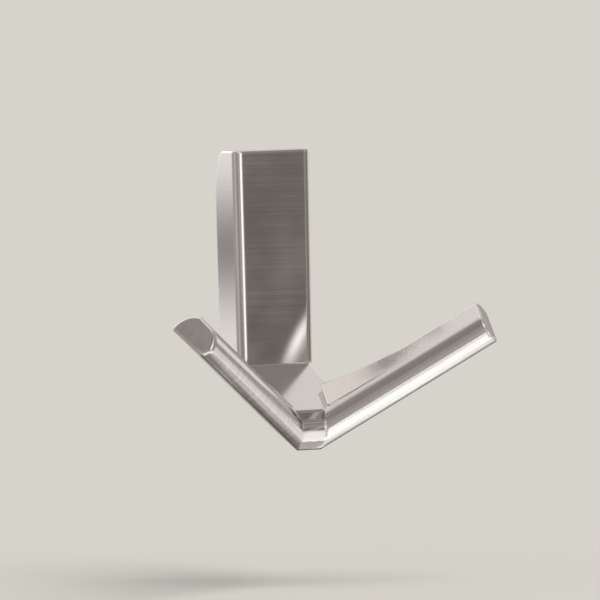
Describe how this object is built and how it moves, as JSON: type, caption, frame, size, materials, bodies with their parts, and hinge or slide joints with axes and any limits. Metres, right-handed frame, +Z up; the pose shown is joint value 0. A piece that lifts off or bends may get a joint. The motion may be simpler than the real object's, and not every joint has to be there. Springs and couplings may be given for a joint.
{
  "type": "double coat hook",
  "caption": "Wall coat hook: an upright post, a sloping neck and raked arms that fork from a V-shaped keel, fixed from behind.",
  "frame": {"origin": "on the wall plane, halfway between the centres of the screw bosses", "axes": "+Z up, +Y into the wall so that the hook stands out towards -Y, +X to the viewer's right"},
  "size_m": [0.098, 0.0635, 0.0848],
  "materials": {
    "brushed_nickel": "satin, brushed"
  },
  "bodies": {
    "root": {"hook_body": "brushed_nickel"}
  },
  "joints": []
}
